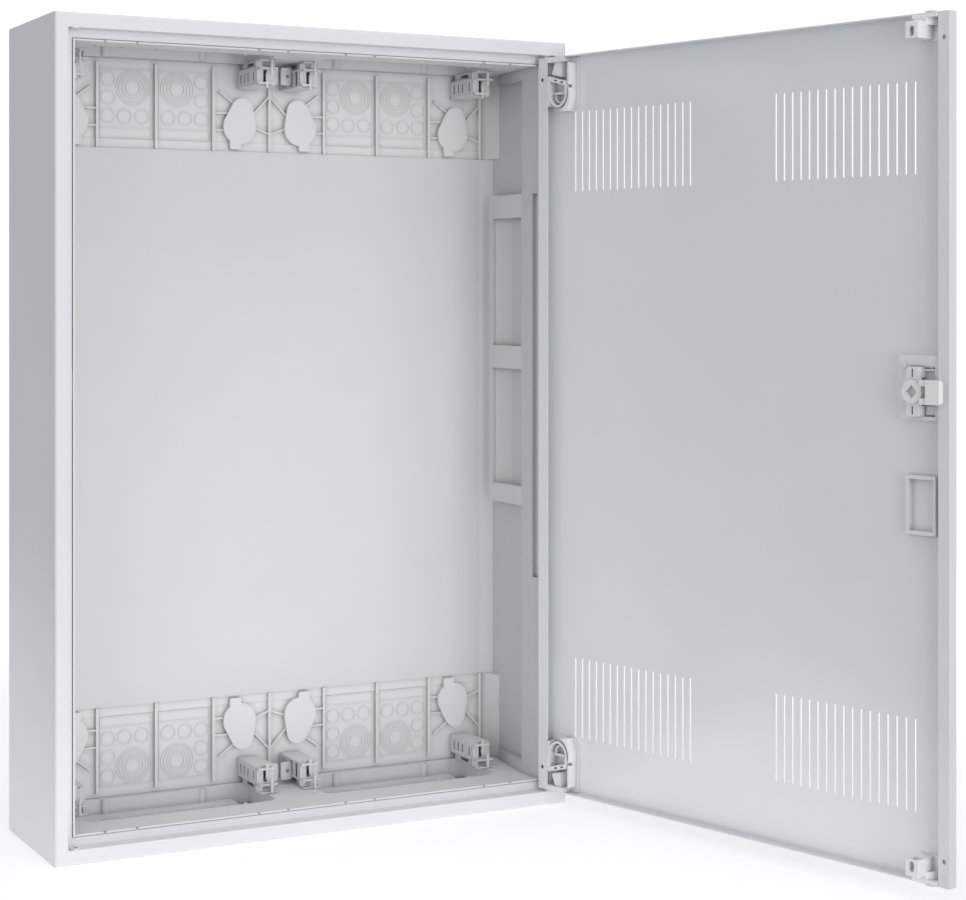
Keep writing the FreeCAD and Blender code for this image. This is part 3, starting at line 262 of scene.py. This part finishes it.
def slot_lining(name, end, side, foot, top):
    """One length of the trough, from foot to top, as a closed solid."""
    low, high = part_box("liner_" + end)
    face = low[0] if side > 0 else high[0]
    edge_y = low[1]
    section = trough_section()
    back = [(depth + TROUGH_THICKNESS, along) for depth, along in reversed(section)]
    outline = section + back
    count = len(outline)
    points = [
        (face + side * depth, edge_y + along, z)
        for z in (foot, top)
        for depth, along in outline
    ]
    faces = [[k, (k + 1) % count, count + (k + 1) % count, count + k] for k in range(count)]
    for k in range(len(section) - 1):
        cap = [k, k + 1, count - 2 - k, count - 1 - k]
        faces.append(cap)
        faces.append([count + corner for corner in reversed(cap)])
    mesh = bpy.data.meshes.new(name)
    mesh.from_pydata(points, [], faces)
    solid = bmesh.new()
    solid.from_mesh(mesh)
    bmesh.ops.recalc_face_normals(solid, faces=solid.faces)
    solid.to_mesh(mesh)
    solid.free()
    piece = link(bpy.data.objects.new(name, mesh))
    mesh.materials.append(LOOKS["liner_side"])
    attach(piece, "cabinet")


slot_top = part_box("cable_guide_right")[1][2] - SLOT_BELOW_GUIDE_TOP
bolt_foot, bolt_top = (corner[2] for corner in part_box("latch_bolt"))
slot_lining("slot_lining_right", "right", 1, SLOT_FOOT_Z, slot_top)
# The left one leaves room for the bolt, which reaches through it when the door is closed
slot_lining("slot_lining_left_lower", "left", -1, SLOT_FOOT_Z, bolt_foot - BOLT_ROOM)
slot_lining("slot_lining_left_upper", "left", -1, bolt_top + BOLT_ROOM, slot_top)


# ---------------------------------------------------------------- floor, light and camera
def floor():
    """White disc under the cabinet, with a glow that grows with x + y."""
    mesh = bpy.data.meshes.new("floor")
    turns = [math.tau * k / FLOOR_SIDES for k in range(FLOOR_SIDES)]
    x, y, z = FLOOR_CENTRE
    rim = [(x + FLOOR_R * math.cos(t), y + FLOOR_R * math.sin(t), z) for t in turns]
    mesh.from_pydata(rim, [], [list(range(FLOOR_SIDES))])
    plane = link(bpy.data.objects.new("floor", mesh))
    material = surface("floor_paint", linear(248, 248, 249), 0.7, 60.0, 0.00002, change=0.004,
                       specular=0.2)
    tree = material.node_tree
    shader = tree.nodes["Principled BSDF"]
    shader.inputs["Emission Color"].default_value = (1, 1, 1, 1)
    reach = add(tree, "ShaderNodeVectorMath", operation="DOT_PRODUCT")
    reach.inputs[1].default_value = (1, 1, 0)
    tree.links.new(add(tree, "ShaderNodeTexCoord").outputs["Object"], reach.inputs[0])
    glow = add(tree, "ShaderNodeMapRange")
    glow.inputs["From Min"].default_value = GLOW_FROM
    glow.inputs["From Max"].default_value = GLOW_TO
    glow.inputs["To Min"].default_value = GLOW_NEAR
    glow.inputs["To Max"].default_value = GLOW_FAR
    tree.links.new(reach.outputs["Value"], glow.inputs["Value"])
    tree.links.new(glow.outputs["Result"], shader.inputs["Emission Strength"])
    mesh.materials.append(material)


def softbox(name, at, width, height, power):
    """A soft panel that faces the cabinet."""
    light = bpy.data.lights.new(name, "AREA")
    light.shape = "RECTANGLE"
    light.size, light.size_y = width, height
    light.energy = power
    lamp = link(bpy.data.objects.new(name, light))
    lamp.location = at
    lamp.rotation_euler = (Vector(AIM) - Vector(at)).to_track_quat("-Z", "Y").to_euler()


def sky():
    """Even studio surroundings, with a white backdrop where the lens sees them directly."""
    world = bpy.data.worlds.new("studio")
    bpy.context.scene.world = world
    world.use_nodes = True
    tree = world.node_tree
    background = tree.nodes["Background"]
    background.inputs["Color"].default_value = SKY_COLOUR
    background.inputs["Strength"].default_value = SKY_STRENGTH
    plain = add(tree, "ShaderNodeBackground")
    plain.inputs["Color"].default_value = (1, 1, 1, 1)
    plain.inputs["Strength"].default_value = BACKDROP_STRENGTH
    path = add(tree, "ShaderNodeLightPath")
    mix = add(tree, "ShaderNodeMixShader")
    tree.links.new(path.outputs["Is Camera Ray"], mix.inputs["Fac"])
    tree.links.new(background.outputs["Background"], mix.inputs[1])
    tree.links.new(plain.outputs["Background"], mix.inputs[2])
    tree.links.new(mix.outputs["Shader"], tree.nodes["World Output"].inputs["Surface"])


floor()
sky()
softbox("key", (0.4, -4.8, 0.1), 3.2, 3.2, 86)
softbox("overhead", (0.0, -0.6, 3.6), 4.0, 4.0, 56)
softbox("fill", (-3.5, -2.8, 1.0), 3.0, 3.2, 16)

camera = bpy.data.cameras.new("camera")
camera.lens = LENS_MM
camera.sensor_width = SENSOR_MM
camera.shift_y = SHIFT_Y
view = link(bpy.data.objects.new("camera", camera))
view.location = CAMERA_AT
view.rotation_euler = (math.radians(90), 0, -CAMERA_YAW)
bpy.context.scene.camera = view
bpy.context.scene.view_settings.view_transform = "Standard"
